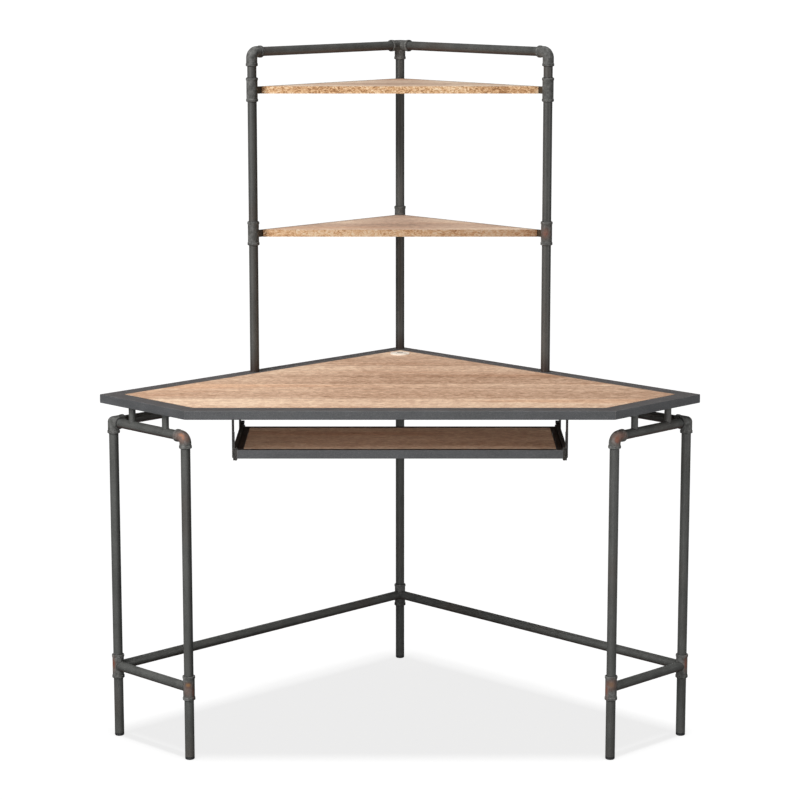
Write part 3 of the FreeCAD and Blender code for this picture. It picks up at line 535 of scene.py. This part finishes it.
# From a fitting's middle to its mouths
OUTLET_MOUTH = 0.0223
ELBOW_MOUTH = 0.0268
HUB_COLLAR = 0.0248
HUB_MOUTH = 0.0313

# Dark rings at the mouths, sealing compound with painted gap shade: how far out of a mouth
# and off the pipe they sit, and how thick they are
SQUEEZE = 0.0003
MOUTH_R = PIPE_R + 0.0003
OUTLET_R = PIPE_R + 0.0004
UPPER_BEAD = 0.0008
LOWER_BEAD = 0.0006
RAIL_BEAD = 0.0007
COLLAR_GROOVE_SHADE_BEAD = 0.0009
OUTLET_BEAD = 0.0011

# Weld beads: how far into a riser's ends they sit, and how thick they are
HEAD_SINK = 0.0004
FOOT_SINK = 0.0002
RISER_WELD_R = RISER_R + 0.0004
STRETCHER_WELD_R = PIPE_R + 0.0002
STRETCHER_WELD_OUT = FITTING_R + 0.0002
RISER_WELD = 0.0010
STRETCHER_WELD = 0.0009


def middle(name):
    """The middle of a node's box."""
    low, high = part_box(name)
    return (low + high) / 2


def at_height(place, height):
    """A place moved straight up or down to a height."""
    return Vector((place.x, place.y, height))


def ring(bm, place, way, radius, bead, along=None, host=None):
    """A bead bent into a ring round way. Where host is a radius, the ring lies against a
    pipe of that radius that runs along."""
    before = set(bm.verts)
    turn = Matrix.Translation((radius, 0, 0)) @ Matrix.Rotation(math.radians(90), 4, "X")
    loop = bmesh.ops.create_circle(bm, segments=8, radius=bead, matrix=turn)["verts"]
    edges = list({edge for vert in loop for edge in vert.link_edges})
    bmesh.ops.spin(bm, geom=loop + edges, cent=(0, 0, 0), axis=(0, 0, 1),
                   angle=math.tau, steps=32, use_merge=True)
    made = [vert for vert in bm.verts if vert not in before]
    if host:
        for vert in made:
            vert.co.z += math.sqrt(host ** 2 - vert.co.y ** 2) - host
    first = along or way.orthogonal().normalized()
    axes = Matrix((first, way.cross(first), way)).transposed().to_4x4()
    bmesh.ops.transform(bm, matrix=Matrix.Translation(place) @ axes, verts=made)


def loose_part_boxes(name):
    """The box of each separate solid in a node, as its lowest and its highest corner."""
    bm = bmesh.new()
    bm.from_mesh(nodes[name].data)
    bmesh.ops.remove_doubles(bm, verts=bm.verts, dist=1e-6)
    waiting = set(bm.verts)
    boxes = []
    for start in bm.verts:
        if start not in waiting:
            continue
        waiting.remove(start)
        found = [start]
        for vert in found:
            for edge in vert.link_edges:
                other = edge.other_vert(vert)
                if other in waiting:
                    waiting.remove(other)
                    found.append(other)
        corners = [[pick(vert.co[i] for vert in found) for i in range(3)]
                   for pick in (min, max)]
        boxes.append((Vector(corners[0]), Vector(corners[1])))
    bm.free()
    return boxes


def sealant_and_shade_rings(bm):
    """Dark rings where pipes enter the fittings' mouths: sealing compound, with painted shade
    of the gap between pipe and socket; and rings of painted shade for the groove inside each
    hub collar.
    """
    for name in by_slot["cast_fittings"]:
        low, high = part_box(name)
        place = middle(name)
        if "_tee_" in name:
            ring(bm, at_height(place, high.z + SQUEEZE), UP, MOUTH_R, UPPER_BEAD)
            ring(bm, at_height(place, low.z - SQUEEZE), UP, MOUTH_R, LOWER_BEAD)
    for side in SIDES:
        outer, inner = middle("leg_outer_" + side), middle("leg_inner_" + side)
        post = middle("hutch_post_" + side)
        rail = middle("end_rail_" + side).z
        below = {"rail_elbow_outer_": outer, "rail_elbow_inner_": inner, "hutch_elbow_": post}
        for name, place in below.items():
            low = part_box(name + side)[0]
            ring(bm, at_height(place, low.z - SQUEEZE), UP, MOUTH_R, LOWER_BEAD)
        way = INWARD[side]
        ring(bm, at_height(outer, rail) + way * OUTLET_MOUTH, way, OUTLET_R, OUTLET_BEAD)
        ring(bm, at_height(inner, rail) - way * ELBOW_MOUTH, way, MOUTH_R, RAIL_BEAD)
    back = middle("leg_back")
    for name, pipe in (("rail_hub_back", "wall_rail_left"),
                       ("hutch_hub_back", "hutch_top_pipe_left")):
        centre = at_height(back, middle(pipe).z)
        ring(bm, at_height(back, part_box(name)[0].z - SQUEEZE), UP, MOUTH_R, RAIL_BEAD)
        for way in ALONG.values():
            # Painted shade: a dark ring for the groove on the inner side of each hub collar
            ring(bm, centre + way * HUB_COLLAR, way, FITTING_R, COLLAR_GROOVE_SHADE_BEAD)
            ring(bm, centre + way * HUB_MOUTH, way, MOUTH_R, RAIL_BEAD)


def weld_beads(bm):
    """Weld round each riser's head and, where a riser stands on a rail, its foot, and round
    each end of the lower pipes.
    """
    for low, high in loose_part_boxes("rail_risers"):
        place = (low + high) / 2
        ring(bm, at_height(place, high.z - HEAD_SINK), UP, RISER_R, RISER_WELD)
        if abs(place.x) < RISER_R:      # the back riser stands on a fitting, not on a rail
            continue
        side = "left" if place.x < 0 else "right"
        rail_low, rail_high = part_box("end_rail_" + side)
        on_end = rail_low.x < place.x < rail_high.x and rail_low.y < place.y < rail_high.y
        along = INWARD[side] if on_end else ALONG[side]
        ring(bm, at_height(place, rail_high.z - FOOT_SINK), UP, RISER_WELD_R, RISER_WELD,
             along, PIPE_R)
    for side in SIDES:
        outer, inner = middle("lower_tee_outer_" + side), middle("lower_tee_inner_" + side)
        back = middle("lower_tee_back")
        for place, way in ((outer, INWARD[side]), (inner, -INWARD[side]),
                           (outer, -ALONG[side]), (back, ALONG[side])):
            level = at_height(place, middle("end_stretcher_" + side).z)
            ring(bm, level + way * STRETCHER_WELD_OUT, way, STRETCHER_WELD_R, STRETCHER_WELD,
                 UP, FITTING_R)


def finish_piece(bm, build):
    """Builds a piece, turns its faces outward, and sorts them by their corners, because
    the spin makes them in a different order in each run."""
    build(bm)
    bmesh.ops.recalc_face_normals(bm, faces=bm.faces)
    bm.verts.index_update()
    ranked = sorted(bm.faces, key=lambda face: sorted(vert.index for vert in face.verts))
    for rank, face in enumerate(ranked):
        face.index = rank
    bm.faces.sort()


# Dark ring paint: sealing compound, and painted shade in the mouths' gaps and the collars'
# grooves
sealant_shade_paint = moulded_plastic("dark_sealant", srgb(36, 36, 35), 0.45)
weld_paint = painted_steel("painted_weld", srgb(58, 58, 56), gloss=0.5, mottle=0.2, wear=0)
for name, material, build in (("thread_sealant", sealant_shade_paint, sealant_and_shade_rings),
                              ("weld_beads", weld_paint, weld_beads)):
    piece = show(name, material, lambda bm, build=build: finish_piece(bm, build))
    for face in piece.data.polygons:
        face.use_smooth = True
    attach(piece, "desk_frame")


# ------------------------------------------------------------------ studio

def floor_finish():
    """White floor that shows bright to the camera and throws only a little light back."""
    material, tree, shader = new_finish("white_floor")
    tree.nodes.remove(shader)
    bounce = put(tree, "BsdfDiffuse", {"Color": (0.25, 0.25, 0.25, 1)}).outputs[0]
    matt = put(tree, "BsdfDiffuse", {"Color": (0.40, 0.40, 0.40, 1)}).outputs[0]
    glow = put(tree, "Emission", {"Color": (1, 1, 1, 1), "Strength": 0.81}).outputs[0]
    seen = put(tree, "AddShader", {0: matt, 1: glow}).outputs[0]
    is_seen = put(tree, "LightPath").outputs["Is Camera Ray"]
    both = put(tree, "MixShader", {0: is_seen, 1: bounce, 2: seen}).outputs[0]
    tree.links.new(both, tree.nodes["Material Output"].inputs["Surface"])
    return material


def build_floor(bm):
    """One flat square with its middle at the origin."""
    bmesh.ops.create_grid(bm, x_segments=1, y_segments=1, size=40.0)


def softbox(name, place, aim, size, power):
    """An area light that points at aim."""
    data = bpy.data.lights.new(name, "AREA")
    data.shape = "SQUARE"
    data.size = size
    data.energy = power
    light = placed(name, data)
    light.location = place
    light.rotation_euler = (Vector(aim) - Vector(place)).to_track_quat("-Z", "Y").to_euler()
    light.visible_camera = False
    return light


def only(name, pieces):
    """A light-linking collection of the pieces that a light reaches."""
    group = bpy.data.collections.new(name)
    for piece in pieces:
        group.objects.link(piece)
    return group


def left_out(name, pieces):
    """A light-linking collection that leaves pieces out."""
    group = only(name, pieces)
    for member in group.collection_objects:
        member.light_linking.link_state = "EXCLUDE"
    return group


def overhead_sun():
    """Lays the soft contact shadow on the floor."""
    data = bpy.data.lights.new("overhead_sun", "SUN")
    data.energy = 1.6
    data.angle = math.radians(7)
    light = placed("overhead_sun", data)
    light.rotation_euler = (math.radians(2.2), 0, 0)
    return light


def white_world():
    """Pale surroundings: weak light on the desk, bright white to the camera."""
    world = bpy.data.worlds.new("white_studio")
    world.use_nodes = True
    tree = world.node_tree
    background = tree.nodes["Background"]
    is_seen = put(tree, "LightPath").outputs["Is Camera Ray"]
    strength = put(tree, "MapRange", {"Value": is_seen, "To Min": 0.09, "To Max": 1.2})
    tree.links.new(strength.outputs["Result"], background.inputs["Strength"])
    background.inputs["Color"].default_value = (1, 1, 1, 1)
    bpy.context.scene.world = world


def studio():
    """The floor, the lights and what each of them reaches, and the world."""
    floor = show("studio_floor", floor_finish(), build_floor)
    above = [nodes[name] for name in nodes if name.startswith(("hutch_", "shelf_"))]
    key = softbox("key_softbox", (-2.1, -2.4, 3.0), (-0.1, 0.0, 0.8), 1.2, 117.0)
    side = softbox("side_softbox", (-2.6, -2.4, 1.3), (-0.2, 0.0, 0.8), 0.8, 27.0)
    fill = softbox("fill_softbox", (1.9, -1.3, 1.0), (0.4, 0.0, 0.6), 0.8, 13.0)
    low = softbox("low_softbox", (-0.3, -3.0, 0.6), (0.0, 0.0, 0.4), 1.0, 20.0)
    left_posts = [nodes[name] for name in nodes if name.endswith("_left") and
                  name.startswith(("leg_", "hutch_post", "hutch_elbow", "lower_tee",
                                   "shelf_tee"))]
    for box, others in ((key, []), (side, [nodes["hutch_top_pipe_right"]]),
                        (fill, left_posts), (low, above)):
        box.light_linking.receiver_collection = left_out(box.name + "_skips", [floor] + others)
    wood = [nodes[name] for slot_name in ("desk_wood", "shelf_wood", "tray_wood")
            for name in by_slot[slot_name]]
    for name, place, size, power in (("back_softbox", (0.0, 3.2, 1.3), 1.6, 62.0),
                                     ("back_left_softbox", (-2.7, 1.8, 1.1), 1.0, 9.0),
                                     ("back_right_softbox", (2.7, 1.8, 1.1), 1.0, 13.0)):
        box = softbox(name, place, (0.0, 0.1, 0.7), size, power)
        box.visible_glossy = False
        box.light_linking.receiver_collection = left_out(name + "_skips", [floor] + wood)
    tray_light = softbox("tray_softbox", (0.0, -2.6, 1.6), (0.0, -0.3, 0.65), 0.8, 29.0)
    tray_light.light_linking.receiver_collection = only("tray_softbox_on_tray",
                                                        [nodes["tray_panel"]])
    above_tray = [nodes["desk_panel"], nodes["rim_front"]]
    tray_light.light_linking.blocker_collection = left_out("tray_softbox_past_desk", above_tray)
    top_light = softbox("top_pipe_softbox", (1.6, -1.8, 2.0), (-0.15, 0.2, 1.48), 0.8, 9.0)
    top_light.light_linking.receiver_collection = only(
        "top_pipe_softbox_on_steel", [nodes["hutch_top_pipe_left"], nodes["rim_end_right"]])
    shelves = [nodes["shelf_lower"], nodes["shelf_upper"]]
    sun = overhead_sun()
    sun.light_linking.blocker_collection = left_out("overhead_sun_past_shelves", shelves)
    white_world()
    bpy.context.scene.view_settings.view_transform = "Standard"


def camera():
    """A long lens, a little above the hutch, looking down at the desk's front."""
    data = bpy.data.cameras.new("studio_camera")
    data.lens = 117.17
    data.sensor_width = 36.0
    data.shift_y = -0.01114
    data.clip_end = 200.0
    tilt_down = 10.125          # degrees
    view = placed("studio_camera", data)
    view.location = (0.0, -5.7353, 1.7529)
    view.rotation_euler = (math.radians(90 - tilt_down), 0, 0)
    bpy.context.scene.camera = view


camera()
studio()
